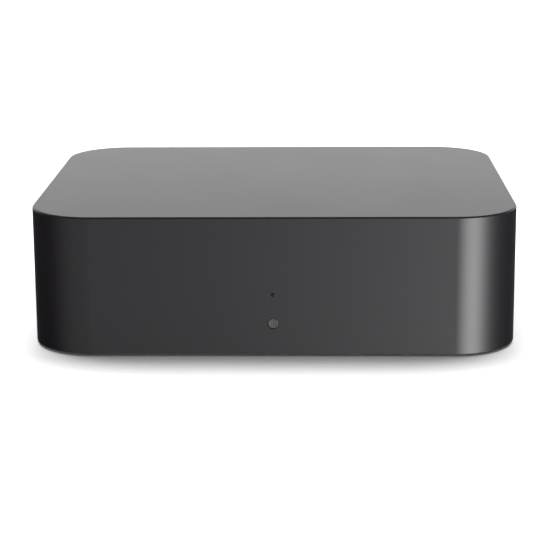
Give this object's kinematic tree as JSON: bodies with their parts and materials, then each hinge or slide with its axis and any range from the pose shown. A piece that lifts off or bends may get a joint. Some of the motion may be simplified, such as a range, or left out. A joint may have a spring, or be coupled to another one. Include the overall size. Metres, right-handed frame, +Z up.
{
  "type": "network music streamer",
  "caption": "Low rounded-square music streamer in satin black, with a round front push button, an indicator dot, rubber feet and a socket panel at the back.",
  "frame": {"origin": "under the middle of the whole object, sockets included, on the surface it stands on", "axes": "+X right seen from the front, +Y to the back, +Z up"},
  "size_m": [0.25, 0.2084, 0.0725],
  "materials": {
    "case_plastic": "satin black moulding",
    "base_plastic": "fine-grained black moulding",
    "panel_paint": "fine black texture coat",
    "foot_rubber": "matt rubber",
    "screw_black": "black oxide",
    "screw_zinc": "bright zinc",
    "socket_plastic": "black moulding",
    "socket_steel": "tinned steel",
    "contact_gold": "gold flash",
    "barrel_nickel": "nickel plate",
    "core_white": "gloss",
    "core_red": "gloss",
    "core_orange": "gloss",
    "core_violet": "gloss",
    "board_green": "solder mask",
    "chip_epoxy": "moulded epoxy",
    "heatsink_metal": "extruded",
    "screening_tin": "tinned",
    "ferrite": "sintered",
    "winding_tape": "polyester tape",
    "can_sleeve": "shrink sleeve",
    "film_case": "moulded box",
    "lead_insulation": "flexible",
    "plug_nylon": "natural nylon",
    "ribbon_film": "polyester film",
    "aerial_film": "copper film under varnish",
    "insulating_film": "translucent sheet",
    "pad_grey": "soft pad",
    "button_plastic": "satin grey moulding",
    "switch_plastic": "moulded",
    "smoked_window": "polished, smoked",
    "lamp_resin": "clear resin"
  },
  "bodies": {
    "case": {"top_shell": "case_plastic", "base_plate": "base_plastic", "rear_panel": "panel_paint", "feet": "foot_rubber", "case_screws": "screw_black", "rear_panel_screws": "screw_black", "board_screws": "screw_zinc", "ethernet_socket": "socket_plastic", "ethernet_contacts": "contact_gold", "usb_socket": "socket_steel", "usb_tongue": "socket_plastic", "optical_output": "socket_plastic", "phono_blocks": "socket_plastic", "phono_barrels": "barrel_nickel", "coaxial_output_core": "core_orange", "subwoofer_output_core": "core_violet", "right_output_core": "core_red", "left_output_core": "core_white", "trigger_jack": "socket_plastic", "infrared_jack": "socket_plastic", "mains_inlet": "socket_plastic", "mains_pins": "barrel_nickel", "main_board": "board_green", "processor": "chip_epoxy", "processor_pad": "pad_grey", "processor_heatsink": "heatsink_metal", "board_chips": "chip_epoxy", "audio_capacitors": "can_sleeve", "wifi_module": "board_green", "wifi_screening_can": "screening_tin", "aerials": "aerial_film", "aerial_leads": "lead_insulation", "power_board": "board_green", "insulating_sheet": "insulating_film", "transformer_core": "ferrite", "transformer_winding": "winding_tape", "filter_choke": "ferrite", "filter_capacitor": "film_case", "bulk_capacitor": "can_sleeve", "output_capacitors": "can_sleeve", "power_cooler": "heatsink_metal", "power_transistors": "chip_epoxy", "fuse": "plug_nylon", "mains_leads": "lead_insulation", "lead_plugs": "plug_nylon", "power_harness": "lead_insulation", "power_switch": "switch_plastic", "light_pipe": "smoked_window", "front_board": "board_green", "status_lamp": "lamp_resin", "remote_sensor": "chip_epoxy", "ribbon_sockets": "plug_nylon", "ribbon_cable": "ribbon_film"},
    "button": {"front_button": "button_plastic"},
    "plunger": {"switch_plunger": "switch_plastic"},
    "shutter": {"optical_shutter": "socket_plastic"}
  },
  "joints": [
    {"name": "button_press", "type": "slide", "parent": "case", "child": "button", "axis": [0, 1, 0], "range_m": [0, 0.0005], "stiffness_N_per_m": 1500},
    {"name": "plunger_press", "type": "slide", "parent": "case", "child": "plunger", "axis": [0, 1, 0], "range_m": [0, 0.0005]},
    {"name": "shutter_swing", "type": "hinge", "parent": "case", "child": "shutter", "pos_m": [0.03547, 0.09075, 0.02127], "axis": [-1, 0, 0], "range_deg": [0, 90], "stiffness_Nm_per_rad": 0.0005}
  ],
  "couplings": [
    {"joint": "plunger_press", "follows": "button_press", "ratio": 1}
  ]
}
